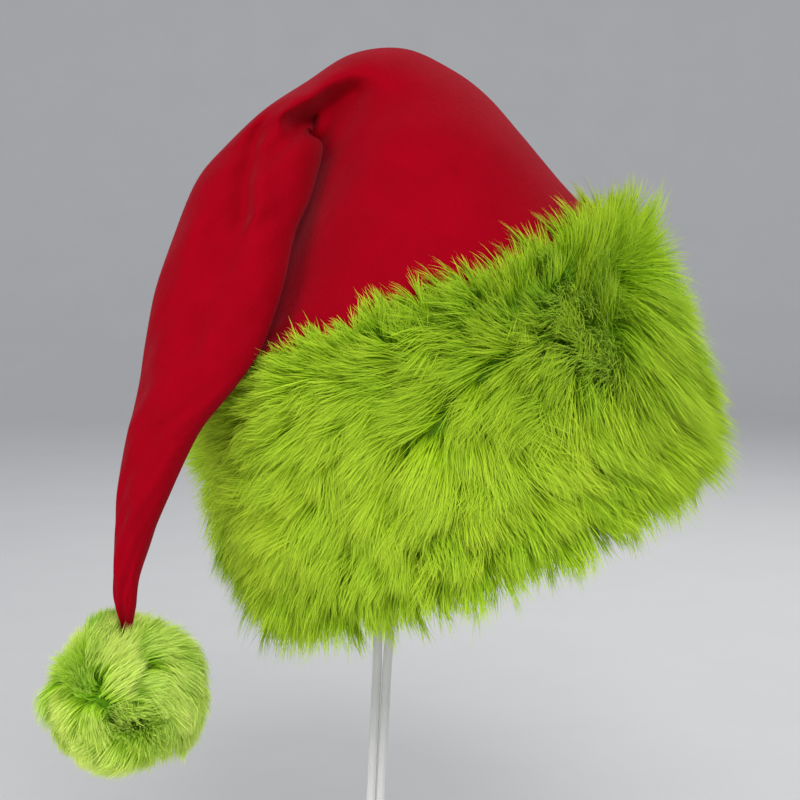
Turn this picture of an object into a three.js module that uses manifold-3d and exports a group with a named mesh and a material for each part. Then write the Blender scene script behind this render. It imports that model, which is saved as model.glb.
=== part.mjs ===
// Santa hat with a deep fur cuff and a pompom, held up on a stand of bent wire.
// Lengths are millimetres. X is to the right, Y is away from the viewer, Z is up.
// The origin is the middle of the underside of the stand's base.
import * as THREE from 'three';
import { mergeVertices } from 'three/addons/utils/BufferGeometryUtils.js';
import Module from 'manifold-3d';

const wasm = await Module();
wasm.setup();

// Hat: driving sizes
const RIM_RADIUS = 92; // outside of the cloth at the rim
const RIM_HEIGHT = 209; // rim's middle above the floor
const RIM_OFFSET = 53; // rim's middle to the right of the stand's foot
const HAT_TILT = THREE.MathUtils.degToRad(21); // the cuff's right side is higher
const BAND_HEIGHT = 101; // cuff's backing, along the hat's axis
const CROWN_RISE = 116; // cuff's top to the crest of the fold
const TAIL_HANG = 201; // inside of the fold to the tail's tip
const CLOTH_WALL = 2;
const FIT_GAP = 0.3; // between pieces that touch

// Fur: driving sizes
const PILE_DEPTH = 14; // dense pile on the cuff's backing
const PILE_OVERHANG = 6; // pile past the backing's edges
const LOCK_REACH = 14; // the cuff's locks, out from the pile
const LOCK_LAY = 16; // the cuff's locks, along the pile
const POMPOM_RADIUS = 34.5; // to the ends of its locks

// Stand: driving sizes
const WIRE_RADIUS = 2.1;
const STAND_LEAN = THREE.MathUtils.degToRad(2.8);
const FORK_HEIGHT = 138; // where the two legs part
const LOOP_RADIUS = 26; // arch inside the crown
const BASE_RADIUS = 75;
const BASE_THICKNESS = 4;
const SOCKET_DEPTH = 2.5;

// Fineness of the facets
const CLOTH_SIDES = 36;
const WIRE_SIDES = 10;

// Rows of the crown above the cuff, from right to left over the crest. Each row is one flat
// loop of cloth. "outer" and "inner" are its two edges: shares of RIM_RADIUS to the right and
// to the front, and a share of CROWN_RISE up, all from the middle of the cuff's top. "depth"
// is how far the loop bulges to the front and to the back of its edges, shares of RIM_RADIUS.
// "keen" says how sharp the outer and the inner edge are, from 0, round, to 0.5, a wedge.
const CROWN_ROWS = [
  { outer: [0.86, 0, 0.39], inner: [-0.87, 0, -0.16], depth: [0.97, 0.97], keen: [0, 0.05] },
  { outer: [0.74, 0, 0.5], inner: [-0.82, -0.04, -0.09], depth: [0.92, 0.92], keen: [0, 0.1] },
  { outer: [0.56, 0, 0.67], inner: [-0.7, -0.1, 0.15], depth: [0.8, 0.8], keen: [0, 0.2] },
  { outer: [0.4, 0, 0.81], inner: [-0.58, -0.15, 0.37], depth: [0.67, 0.67], keen: [0.05, 0.3] },
  { outer: [0.23, 0, 0.91], inner: [-0.5, -0.15, 0.48], depth: [0.54, 0.54], keen: [0.1, 0.35] },
  { outer: [0, 0, 0.99], inner: [-0.42, -0.1, 0.56], depth: [0.43, 0.43], keen: [0.15, 0.3] },
  { outer: [-0.25, 0.01, 0.97], inner: [-0.41, -0.02, 0.61], depth: [0.4, 0.36], keen: [0.15, 0.2] },
  { outer: [-0.47, 0.08, 0.86], inner: [-0.41, 0.08, 0.65], depth: [0.35, 0.26], keen: [0.15, 0.1] },
  { outer: [-0.66, 0.17, 0.75], inner: [-0.43, 0.19, 0.64], depth: [0.32, 0.19], keen: [0.1, 0.05] },
  { outer: [-0.83, 0.27, 0.62], inner: [-0.37, 0.31, 0.57], depth: [0.29, 0.14], keen: [0.05, 0.05] },
];

// The inside of the fold, that the tail hangs from, as a share of CROWN_RISE
const FOLD_UP = 0.625;

// Rows of the hanging tail, from the fold down. Columns as above, but the third share is of
// TAIL_HANG, down from the inside of the fold.
const TAIL_ROWS = [
  { outer: [-0.96, 0.37, 0.08], inner: [-0.43, 0.44, 0.11], depth: [0.27, 0.14], keen: [0, 0.05] },
  { outer: [-1.06, 0.47, 0.2], inner: [-0.5, 0.58, 0.19], depth: [0.24, 0.13], keen: [0, 0] },
  { outer: [-1.13, 0.55, 0.31], inner: [-0.55, 0.73, 0.3], depth: [0.21, 0.12], keen: [0, 0] },
  { outer: [-1.17, 0.6, 0.42], inner: [-0.64, 0.85, 0.42], depth: [0.18, 0.1], keen: [0, 0] },
  { outer: [-1.2, 0.65, 0.52], inner: [-0.76, 0.89, 0.5], depth: [0.16, 0.09], keen: [0, 0] },
  { outer: [-1.24, 0.7, 0.6], inner: [-0.92, 0.88, 0.59], depth: [0.13, 0.1], keen: [0, 0] },
  { outer: [-1.28, 0.74, 0.7], inner: [-1.04, 0.86, 0.7], depth: [0.11, 0.11], keen: [0, 0] },
  { outer: [-1.3, 0.77, 0.8], inner: [-1.14, 0.85, 0.8], depth: [0.09, 0.09], keen: [0, 0] },
  { outer: [-1.31, 0.79, 0.9], inner: [-1.2, 0.84, 0.89], depth: [0.07, 0.07], keen: [0, 0] },
  { outer: [-1.3, 0.8, 0.96], inner: [-1.22, 0.83, 0.96], depth: [0.05, 0.05], keen: [0, 0] },
];
const TAIL_TIP = [-1.26, 0.78, 1.05]; // inside the pompom

// Folds on the viewer's side of the cloth. Each runs from one row and place across it to
// another, where 1 is the row's outer edge and -1 its inner edge. "rise" is a share of
// RIM_RADIUS, and less than 0 for a dent. "width" is counted in rows.
const FOLDS = [
  { row: 7, across: 0.55, endRow: 8.5, endAcross: -0.05, width: 0.9, rise: -0.03 },
  { row: 8.7, across: -0.1, endRow: 10, endAcross: -0.5, width: 0.9, rise: -0.06 },
  { row: 10.6, across: -0.4, endRow: 12, endAcross: -0.15, width: 0.9, rise: -0.08 },
  { row: 11.7, across: 0.35, endRow: 14, endAcross: 0, width: 0.7, rise: -0.04 },
  { row: 7.3, across: 0.7, endRow: 5, endAcross: -0.15, width: 1, rise: 0.03 },
];
const ROWS_ACROSS = 2; // half a row's breadth, counted in rows, for the width of a fold

// Places along the crown, counted in rows from the rim
const BAND_TOP_ROW = 2;
const ARCH_START_ROW = 4; // the crest is above the arch from this row to the next
const ARCH_END_ROW = 9;
const TURN_START_ROW = 8.5;
const TURN_END_ROW = 11;
const FOLD_ROW = 12;
const STRAIGHT_ROW = 15;
const HOLLOW_END_ROW = 21;
const LAST_ROW = 22;

// Rows from one ring of facets to the next
const PLAIN_STEP = 1; // under the cuff, and down the straight of the tail
const CURVED_STEP = 0.5;
const TURN_STEP = 0.25; // in the fold's tight turn

const hatAxis = new THREE.Vector3(-Math.sin(HAT_TILT), 0, Math.cos(HAT_TILT));
const hatRight = new THREE.Vector3(Math.cos(HAT_TILT), 0, Math.sin(HAT_TILT));
const hatBack = new THREE.Vector3(0, 1, 0);
const rimMiddle = new THREE.Vector3(RIM_OFFSET, 0, RIM_HEIGHT);
const bandTop = rimMiddle.clone().addScaledVector(hatAxis, BAND_HEIGHT);
const foldHeight = bandTop.z + FOLD_UP * CROWN_RISE;

// An uneven number between -1 and 1 that is always the same for the same two counts
const SCATTER_STEPS = [127.1, 311.7];
const SCATTER_SPREAD = 43758.5;

function scatter(first, second) {
  const wave = Math.sin(first * SCATTER_STEPS[0] + second * SCATTER_STEPS[1]) * SCATTER_SPREAD;
  return 2 * (wave - Math.floor(wave)) - 1;
}

function roundRow(height) {
  const middle = rimMiddle.clone().addScaledVector(hatAxis, height);
  return {
    outer: middle.clone().addScaledVector(hatRight, RIM_RADIUS),
    inner: middle.clone().addScaledVector(hatRight, -RIM_RADIUS),
    frontDepth: RIM_RADIUS,
    backDepth: RIM_RADIUS,
    outerKeen: 0,
    innerKeen: 0,
  };
}

// A place from its shares: to the right, to the front, and up or down from a height
function placeAt([side, front, share], height, span) {
  const x = bandTop.x + side * RIM_RADIUS;
  return new THREE.Vector3(x, -front * RIM_RADIUS, height + share * span);
}

function tableRow(row, height, span) {
  return {
    outer: placeAt(row.outer, height, span),
    inner: placeAt(row.inner, height, span),
    frontDepth: row.depth[0] * RIM_RADIUS,
    backDepth: row.depth[1] * RIM_RADIUS,
    outerKeen: row.keen[0],
    innerKeen: row.keen[1],
  };
}

const clothRows = [
  roundRow(0),
  roundRow(BAND_HEIGHT / 2),
  roundRow(BAND_HEIGHT),
  ...CROWN_ROWS.map((row) => tableRow(row, bandTop.z, CROWN_RISE)),
  ...TAIL_ROWS.map((row) => tableRow(row, foldHeight, -TAIL_HANG)),
];
const tailTip = placeAt(TAIL_TIP, foldHeight, -TAIL_HANG);

// A smooth curve through four numbers, from the second to the third
function smoothBetween(before, start, end, after, share) {
  const pull = (end - before) / 2;
  const push = (after - start) / 2;
  const square = share * share;
  const cube = square * share;
  return (2 * cube - 3 * square + 1) * start + (cube - 2 * square + share) * pull
    + (3 * square - 2 * cube) * end + (cube - square) * push;
}

// The loop of cloth at any place between the rows
function clothRowAt(place) {
  const last = clothRows.length - 1;
  const index = Math.min(Math.floor(place), last - 1);
  const near = [index - 1, index, index + 1, index + 2]
    .map((n) => clothRows[THREE.MathUtils.clamp(n, 0, last)]);
  const blend = (read) => smoothBetween(...near.map(read), place - index);
  const blendPoint = (read) => new THREE.Vector3(
    blend((row) => read(row).x),
    blend((row) => read(row).y),
    blend((row) => read(row).z),
  );
  return {
    outer: blendPoint((row) => row.outer),
    inner: blendPoint((row) => row.inner),
    frontDepth: blend((row) => row.frontDepth),
    backDepth: blend((row) => row.backDepth),
    outerKeen: Math.max(blend((row) => row.outerKeen), 0),
    innerKeen: Math.max(blend((row) => row.innerKeen), 0),
  };
}

function foldRise(place, across) {
  let rise = 0;
  for (const fold of FOLDS) {
    const start = new THREE.Vector2(fold.row, fold.across * ROWS_ACROSS);
    const along = new THREE.Vector2(fold.endRow, fold.endAcross * ROWS_ACROSS).sub(start);
    const from = new THREE.Vector2(place, across * ROWS_ACROSS).sub(start);
    const share = THREE.MathUtils.clamp(from.dot(along) / along.lengthSq(), 0, 1);
    const distance = from.addScaledVector(along, -share).length() / fold.width;
    rise += fold.rise * RIM_RADIUS * Math.exp(-distance * distance);
  }
  return rise;
}

// A point on the outside of the cloth. The angle runs round the row from its outer edge,
// over the viewer's side, to its inner edge and back behind.
function clothPoint(place, angle) {
  const row = clothRowAt(place);
  const middle = row.outer.clone().add(row.inner).multiplyScalar(0.5);
  const halfBreadth = row.outer.clone().sub(middle);
  const across = Math.cos(angle);
  const facing = new THREE.Vector3(0, -1, 0);
  const breadthWay = halfBreadth.clone().normalize();
  facing.addScaledVector(breadthWay, -facing.dot(breadthWay)).normalize();
  const keen = (1 + across) ** row.innerKeen * (1 - across) ** row.outerKeen;
  const inFront = Math.sin(angle) > 0;
  const depth = inFront ? row.frontDepth * keen + foldRise(place, across) : row.backDepth * keen;
  return middle.addScaledVector(halfBreadth, across)
    .addScaledVector(facing, depth * Math.sin(angle));
}

const NUDGE = 0.01;

// The cloth's outside, moved out by an offset that is less than 0 for its inside
function clothSurface(place, angle, offset) {
  const before = Math.max(place - NUDGE, 0);
  const after = Math.min(place + NUDGE, LAST_ROW);
  const lengthwise = clothPoint(after, angle).sub(clothPoint(before, angle));
  const around = clothPoint(place, angle + NUDGE).sub(clothPoint(place, angle - NUDGE));
  const normal = lengthwise.cross(around).normalize();
  return clothPoint(place, angle).addScaledVector(normal, offset);
}

function clothRing(place, offset) {
  const ring = [];
  for (let side = 0; side < CLOTH_SIDES; side += 1) {
    ring.push(clothSurface(place, (side / CLOTH_SIDES) * 2 * Math.PI, offset));
  }
  return ring;
}

function ringStep(place) {
  if (place < BAND_TOP_ROW || place >= STRAIGHT_ROW) {
    return PLAIN_STEP;
  }
  return place >= TURN_START_ROW && place < TURN_END_ROW ? TURN_STEP : CURVED_STEP;
}

function ringPlaces(start, end) {
  const places = [];
  for (let place = start; place <= end; place += ringStep(place)) {
    places.push(place);
  }
  return places;
}

function meanPoint(points) {
  const sum = new THREE.Vector3();
  points.forEach((point) => sum.add(point));
  return sum.divideScalar(points.length);
}

function signedVolume(corners, triangles) {
  let volume = 0;
  for (let at = 0; at < triangles.length; at += 3) {
    const [a, b, c] = [0, 1, 2].map((n) => corners[triangles[at + n]]);
    volume += a.dot(b.clone().cross(c)) / 6;
  }
  return volume;
}

// A closed mesh with its faces turned outward
function closedGeometry(corners, triangles) {
  if (signedVolume(corners, triangles) < 0) {
    triangles.reverse();
  }
  const places = corners.flatMap((corner) => corner.toArray());
  const geometry = new THREE.BufferGeometry();
  geometry.setAttribute('position', new THREE.Float32BufferAttribute(places, 3));
  geometry.setIndex(triangles);
  return geometry;
}

// A closed skin over rings of equal count. The start closes on its ring's middle, and so
// does the end unless its point is given.
function skinOver(rings, endPoint = meanPoint(rings[rings.length - 1])) {
  const sides = rings[0].length;
  const corners = rings.flat();
  const start = corners.push(meanPoint(rings[0])) - 1;
  const end = corners.push(endPoint) - 1;
  const last = (rings.length - 1) * sides;
  const triangles = [];
  for (let side = 0; side < sides; side += 1) {
    const beside = (side + 1) % sides;
    for (let here = 0; here < last; here += sides) {
      const next = here + sides;
      triangles.push(here + side, here + beside, next + beside);
      triangles.push(here + side, next + beside, next + side);
    }
    triangles.push(start, beside, side);
    triangles.push(end, last + side, last + beside);
  }
  return closedGeometry(corners, triangles);
}

function solidFrom(geometry) {
  const bare = geometry.clone();
  bare.deleteAttribute('normal');
  bare.deleteAttribute('uv');
  const merged = mergeVertices(bare);
  return new wasm.Manifold(new wasm.Mesh({
    numProp: 3,
    vertProperties: new Float32Array(merged.attributes.position.array),
    triVerts: new Uint32Array(merged.index.array),
  }));
}

function geometryFrom(solid) {
  const mesh = solid.getMesh();
  const geometry = new THREE.BufferGeometry();
  geometry.setAttribute('position', new THREE.Float32BufferAttribute(mesh.vertProperties, 3));
  geometry.setIndex(new THREE.Uint32BufferAttribute(mesh.triVerts, 1));
  return geometry;
}

// Crown: outside from the rim to the tip, and inside back from the end of the tail's hollow
function crownGeometry() {
  const outside = ringPlaces(0, LAST_ROW).map((place) => clothRing(place, 0));
  const inside = ringPlaces(0, HOLLOW_END_ROW).map((place) => clothRing(place, -CLOTH_WALL));
  return skinOver([...inside.reverse(), ...outside], tailTip);
}

// The tail with room round it, to cut what lies against it
function tailClearance() {
  const places = ringPlaces(FOLD_ROW, LAST_ROW);
  const rings = places.map((place) => clothRing(place, FIT_GAP));
  const past = tailTip.clone().sub(meanPoint(rings[rings.length - 1])).setLength(FIT_GAP);
  return solidFrom(skinOver(rings, tailTip.clone().add(past)));
}

// One lock of fur: a spike on a cell of the pile's surface, whose corners it shares, that
// bends over at its knee
const KNEE_REACH = 0.55;
const KNEE_LAY = 0.3;
const KNEE_SIZE = 0.62;

function addLock(corners, triangles, cell, outward, combed, reach, lay) {
  const root = meanPoint(cell.map((index) => corners[index]));
  const knee = root.clone()
    .addScaledVector(outward, KNEE_REACH * reach)
    .addScaledVector(combed, KNEE_LAY * lay);
  const tip = corners.push(
    root.clone().addScaledVector(outward, reach).addScaledVector(combed, lay),
  ) - 1;
  const bend = cell.map((index) => {
    const aside = corners[index].clone().sub(root).multiplyScalar(KNEE_SIZE);
    return corners.push(knee.clone().add(aside)) - 1;
  });
  cell.forEach((corner, side) => {
    const beside = (side + 1) % cell.length;
    triangles.push(corner, cell[beside], bend[beside]);
    triangles.push(corner, bend[beside], bend[side]);
    triangles.push(bend[side], bend[beside], tip);
  });
}

// Cuff: stations round the pile's section, from the backing's lower edge to its upper edge.
// "out" is a share of PILE_DEPTH, and "up" of half the pile's height, from its middle. The
// rest is for the locks between a station and the next. "comb" is the way that they lie, in
// quarter turns from straight down, by way of the viewer's left, to straight up. "reach" and
// "lay" are shares of LOCK_REACH and LOCK_LAY.
const PILE_STATIONS = [
  { out: 0, up: -1, comb: 0, reach: 0.8, lay: 0 },
  { out: 0.5, up: -0.97, comb: 0, reach: 1, lay: 0.3 },
  { out: 0.85, up: -0.8, comb: 0.05, reach: 1, lay: 0.9 },
  { out: 1, up: -0.5, comb: 0.1, reach: 0.9, lay: 1 },
  { out: 1, up: -0.17, comb: 0.3, reach: 0.9, lay: 1 },
  { out: 1, up: 0.17, comb: 0.6, reach: 0.9, lay: 0.9 },
  { out: 1, up: 0.5, comb: 1, reach: 0.9, lay: 0.9 },
  { out: 0.85, up: 0.8, comb: 1.5, reach: 1, lay: 0.8 },
  { out: 0.5, up: 0.97, comb: 1.6, reach: 0.8, lay: 0.3 },
  { out: 0, up: 1 },
];
const CELLS_ASKEW = 4; // cells that the pattern leans over from the lowest row to the highest
const CELL_WOBBLE = 0.18;
const COMB_WOBBLE = 0.2;
const LOCK_WOBBLE = 0.2;
const lastStation = PILE_STATIONS.length - 1;
const pileInside = RIM_RADIUS + FIT_GAP;

// How far the tail presses the pile down, as a share, round one place on the cuff. "around"
// counts from the viewer's right by way of the back, and "up" is as for the stations.
const PRESS_SHARE = 0.75;
const PRESS_PLACE = { around: THREE.MathUtils.degToRad(218), up: 0.8 };
const PRESS_SPREAD = { around: THREE.MathUtils.degToRad(34), up: 0.9 };

function pilePress(around, up) {
  const turn = around - PRESS_PLACE.around;
  const aside = Math.atan2(Math.sin(turn), Math.cos(turn)) / PRESS_SPREAD.around;
  const above = (up - PRESS_PLACE.up) / PRESS_SPREAD.up;
  return PRESS_SHARE * Math.exp(-aside * aside - above * above);
}

function aroundHat(around) {
  return hatRight.clone().multiplyScalar(Math.cos(around)).addScaledVector(hatBack, Math.sin(around));
}

function pileCorner(station, count) {
  const { out, up } = PILE_STATIONS[station];
  const onEdge = station === 0 || station === lastStation;
  const wobble = onEdge ? 0 : CELL_WOBBLE * scatter(station, count);
  const turn = (count + wobble + (CELLS_ASKEW * station) / lastStation) / CLOTH_SIDES;
  const around = turn * 2 * Math.PI;
  const radius = pileInside + PILE_DEPTH * out * (1 - pilePress(around, up));
  return rimMiddle.clone()
    .addScaledVector(hatAxis, BAND_HEIGHT / 2 + (BAND_HEIGHT / 2 + PILE_OVERHANG) * up)
    .addScaledVector(aroundHat(around), radius);
}

// The ways at one cell of the pile: out of it, along it to the viewer's left, and up it
function pileWays(root, low, high) {
  const spoke = root.clone().sub(rimMiddle);
  spoke.addScaledVector(hatAxis, -spoke.dot(hatAxis)).normalize();
  const left = hatAxis.clone().cross(spoke).negate();
  const up = high.clone().sub(low);
  up.addScaledVector(left, -up.dot(left)).normalize();
  const around = Math.atan2(spoke.dot(hatBack), spoke.dot(hatRight));
  return { outward: up.clone().cross(left).normalize(), left, up, around };
}

function addCuffLock(corners, triangles, cell, station, count) {
  const row = PILE_STATIONS[station];
  const root = meanPoint(cell.map((index) => corners[index]));
  const ways = pileWays(root, corners[cell[0]], corners[cell[3]]);
  const comb = (row.comb + COMB_WOBBLE * scatter(count, station)) * (Math.PI / 2);
  const combed = ways.up.clone()
    .multiplyScalar(-Math.cos(comb))
    .addScaledVector(ways.left, Math.sin(comb));
  const free = 1 - pilePress(ways.around, row.up);
  const size = free * (1 + LOCK_WOBBLE * scatter(station, count));
  const reach = size * row.reach * LOCK_REACH;
  const lay = size * row.lay * LOCK_LAY;
  addLock(corners, triangles, cell, ways.outward, combed, reach, lay);
}

function cuffGeometry(clearance) {
  const corners = [];
  const triangles = [];
  PILE_STATIONS.forEach((_, station) => {
    for (let count = 0; count < CLOTH_SIDES; count += 1) {
      corners.push(pileCorner(station, count));
    }
  });
  const cornerAt = (station, count) => station * CLOTH_SIDES + (count % CLOTH_SIDES);
  for (let station = 0; station < lastStation; station += 1) {
    for (let count = 0; count < CLOTH_SIDES; count += 1) {
      const cell = [
        cornerAt(station, count), cornerAt(station, count + 1),
        cornerAt(station + 1, count + 1), cornerAt(station + 1, count),
      ];
      addCuffLock(corners, triangles, cell, station, count);
    }
  }
  for (let count = 0; count < CLOTH_SIDES; count += 1) {
    const low = cornerAt(0, count + CELLS_ASKEW);
    const lowBeside = cornerAt(0, count + CELLS_ASKEW + 1);
    const high = cornerAt(lastStation, count);
    const highBeside = cornerAt(lastStation, count + 1);
    triangles.push(high, highBeside, lowBeside);
    triangles.push(high, lowBeside, low);
  }
  return geometryFrom(solidFrom(closedGeometry(corners, triangles)).subtract(clearance));
}

// Pompom: a round head whose every facet carries a lock, notched where the tail's tip sits.
// The place of its middle from the tip is in shares of POMPOM_RADIUS.
const POMPOM_PLACE = [-0.08, 0.28, -0.6];
const POMPOM_HEAD = 0.8; // share of POMPOM_RADIUS
const POMPOM_LAY = 0.3; // how far a lock lies over, share of POMPOM_RADIUS
const POMPOM_COMB = new THREE.Vector3(0.5, 0.3, -0.8); // the way that its locks lie
const HEAD_DETAIL = 1;
const pompomMiddle = tailTip.clone().add(new THREE.Vector3(...POMPOM_PLACE).multiplyScalar(POMPOM_RADIUS));

function pompomGeometry(clearance) {
  const head = new THREE.IcosahedronGeometry(POMPOM_HEAD * POMPOM_RADIUS, HEAD_DETAIL);
  const place = head.attributes.position;
  const corners = [];
  const triangles = [];
  for (let first = 0; first < place.count; first += 3) {
    const cell = [0, 1, 2].map((n) => corners.push(
      new THREE.Vector3().fromBufferAttribute(place, first + n).add(pompomMiddle),
    ) - 1);
    const root = meanPoint(cell.map((index) => corners[index]));
    const outward = root.sub(pompomMiddle).normalize();
    const combed = POMPOM_COMB.clone().addScaledVector(outward, -POMPOM_COMB.dot(outward));
    const reach = (1 - POMPOM_HEAD) * POMPOM_RADIUS;
    const lay = (1 + LOCK_WOBBLE * scatter(first, 0)) * POMPOM_LAY * POMPOM_RADIUS;
    addLock(corners, triangles, cell, outward, combed, reach, lay);
  }
  return geometryFrom(solidFrom(closedGeometry(corners, triangles)).subtract(clearance));
}

// Stand wire: its middle line runs up one leg, round the arch and down the other leg
const LEG_STEPS = 10;
const ARCH_STEPS = 12;
const CLAMPED_HEIGHT = 8; // the legs run side by side from the foot, with no bend below this
const ARCH_ROOM = 0.35; // between the arch and the inside of the cloth
const CREST_SAMPLES = 400;
const LOWERING_STEP = 0.05; // the fineness of the arch's height
const legSpacing = WIRE_RADIUS + FIT_GAP / 2;
const footHeight = BASE_THICKNESS - SOCKET_DEPTH + FIT_GAP;

function archMiddle(height) {
  return new THREE.Vector3(height * Math.tan(STAND_LEAN), 0, height);
}

// The arch hangs just under the crest, which runs above it from row to row: it is lowered
// until the inside of the crest clears it
function archHeight() {
  const places = ringPlaces(ARCH_START_ROW, ARCH_END_ROW);
  const crest = new THREE.CurvePath();
  places.slice(1).forEach((place, index) => {
    const before = clothSurface(places[index], 0, -CLOTH_WALL);
    crest.add(new THREE.LineCurve3(before, clothSurface(place, 0, -CLOTH_WALL)));
  });
  const under = crest.getSpacedPoints(CREST_SAMPLES);
  const roomAt = (height) => {
    const middle = archMiddle(height);
    const beyond = under.map((point) => Math.hypot(point.x - middle.x, point.z - middle.z));
    return Math.min(...beyond) - LOOP_RADIUS;
  };
  let height = bandTop.z + CROWN_RISE - LOOP_RADIUS;
  while (roomAt(height) < WIRE_RADIUS + ARCH_ROOM) {
    height -= LOWERING_STEP;
  }
  return height;
}

// One leg's stations from the foot up. "spread" goes from 0, beside the other leg, to 1.
function legStations(arch) {
  const stations = [{ height: footHeight, spread: 0 }, { height: CLAMPED_HEIGHT, spread: 0 }];
  for (let step = 0; step <= LEG_STEPS; step += 1) {
    const share = step / LEG_STEPS;
    stations.push({
      height: FORK_HEIGHT + share * (arch - FORK_HEIGHT),
      spread: THREE.MathUtils.smoothstep(share, 0, 1),
    });
  }
  return stations;
}

function wireLine() {
  const arch = archHeight();
  const stations = legStations(arch);
  const legPoint = ({ height, spread }, hand) => {
    const aside = legSpacing + spread * (LOOP_RADIUS - legSpacing);
    return archMiddle(height).add(new THREE.Vector3(hand * aside, 0, 0));
  };
  const points = stations.map((station) => legPoint(station, 1));
  for (let step = 1; step < ARCH_STEPS; step += 1) {
    const angle = (step / ARCH_STEPS) * Math.PI;
    const spoke = new THREE.Vector3(Math.cos(angle), 0, Math.sin(angle));
    points.push(archMiddle(arch).addScaledVector(spoke, LOOP_RADIUS));
  }
  return [...points, ...stations.reverse().map((station) => legPoint(station, -1))];
}

function wireRings(line, radius) {
  return line.map((point, index) => {
    const before = line[Math.max(index - 1, 0)];
    const after = line[Math.min(index + 1, line.length - 1)];
    const along = after.clone().sub(before).normalize();
    const out = new THREE.Vector3(0, 1, 0).cross(along);
    const ring = [];
    for (let side = 0; side < WIRE_SIDES; side += 1) {
      const angle = (side / WIRE_SIDES) * 2 * Math.PI;
      ring.push(point.clone().addScaledVector(out, radius * Math.cos(angle))
        .addScaledVector(hatBack, radius * Math.sin(angle)));
    }
    return ring;
  });
}

// Stand base: a round plate with a softened rim and a socket for each leg
const BASE_SIDES = 48;
const BASE_EDGE = 1; // bevel of the plate's upper rim

function baseGeometry(line) {
  const outline = [
    new THREE.Vector2(0, 0),
    new THREE.Vector2(BASE_RADIUS, 0),
    new THREE.Vector2(BASE_RADIUS, BASE_THICKNESS - BASE_EDGE),
    new THREE.Vector2(BASE_RADIUS - BASE_EDGE, BASE_THICKNESS),
    new THREE.Vector2(0, BASE_THICKNESS),
  ];
  const plate = new THREE.LatheGeometry(outline, BASE_SIDES);
  plate.rotateX(Math.PI / 2);
  const socketFor = (foot, above) => {
    const down = foot.clone().sub(above).setLength(FIT_GAP);
    const bottom = foot.clone().add(down);
    return solidFrom(skinOver(wireRings([bottom, above], WIRE_RADIUS + FIT_GAP)));
  };
  const last = line.length - 1;
  const sockets = socketFor(line[0], line[1]).add(socketFor(line[last], line[last - 1]));
  return geometryFrom(solidFrom(plate).subtract(sockets));
}

const fleece = new THREE.MeshStandardMaterial({ color: 0xa80014, roughness: 0.95, metalness: 0 });
const fur = new THREE.MeshStandardMaterial({ color: 0x8fc41e, roughness: 0.9, metalness: 0 });
const brightFur = new THREE.MeshStandardMaterial({ color: 0xa4dc3c, roughness: 0.9, metalness: 0 });
const whiteCoat = new THREE.MeshStandardMaterial({ color: 0xe9e9e6, roughness: 0.4, metalness: 0 });

function namedPiece(name, geometry, material) {
  const piece = new THREE.Mesh(geometry, material);
  piece.name = name;
  return piece;
}

const clearance = tailClearance();
const line = wireLine();
const hatOnStand = new THREE.Group();
hatOnStand.add(
  namedPiece('crown', crownGeometry(), fleece),
  namedPiece('fur_band', cuffGeometry(clearance), fur),
  namedPiece('pompom', pompomGeometry(clearance), brightFur),
  namedPiece('stand_wire', skinOver(wireRings(line, WIRE_RADIUS)), whiteCoat),
  namedPiece('stand_base', baseGeometry(line), whiteCoat),
);

export default hatOnStand;
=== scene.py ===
"""The looks of the santa hat on its stand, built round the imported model."""

import math

import bpy
import numpy as np
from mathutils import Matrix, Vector
from mathutils.bvhtree import BVHTree
from mathutils.kdtree import KDTree


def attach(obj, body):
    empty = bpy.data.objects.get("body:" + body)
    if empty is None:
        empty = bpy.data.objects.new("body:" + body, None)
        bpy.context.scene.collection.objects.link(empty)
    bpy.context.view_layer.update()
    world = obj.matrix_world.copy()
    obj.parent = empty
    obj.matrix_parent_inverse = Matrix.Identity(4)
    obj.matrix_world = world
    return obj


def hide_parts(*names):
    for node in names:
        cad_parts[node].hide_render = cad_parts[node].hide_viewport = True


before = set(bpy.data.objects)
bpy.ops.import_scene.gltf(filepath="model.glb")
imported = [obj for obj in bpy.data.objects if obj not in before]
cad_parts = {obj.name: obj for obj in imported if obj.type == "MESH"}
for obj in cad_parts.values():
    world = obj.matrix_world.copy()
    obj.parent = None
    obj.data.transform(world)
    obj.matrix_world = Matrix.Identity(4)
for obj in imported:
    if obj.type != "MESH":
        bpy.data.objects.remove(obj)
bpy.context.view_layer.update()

MM = 0.001
SEED = 11
rng = np.random.default_rng(SEED)

# The hat's driving sizes, in millimetres, as in the part's source
RIM_RADIUS = 92.0
RIM_HEIGHT = 209.0
RIM_OFFSET = 53.0
HAT_TILT = math.radians(21)
BAND_HEIGHT = 101.0
CROWN_RISE = 116.0
TAIL_HANG = 201.0
CLOTH_WALL = 2.0
FIT_GAP = 0.3
PILE_DEPTH = 14.0
PILE_OVERHANG = 6.0
POMPOM_RADIUS = 34.5

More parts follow.
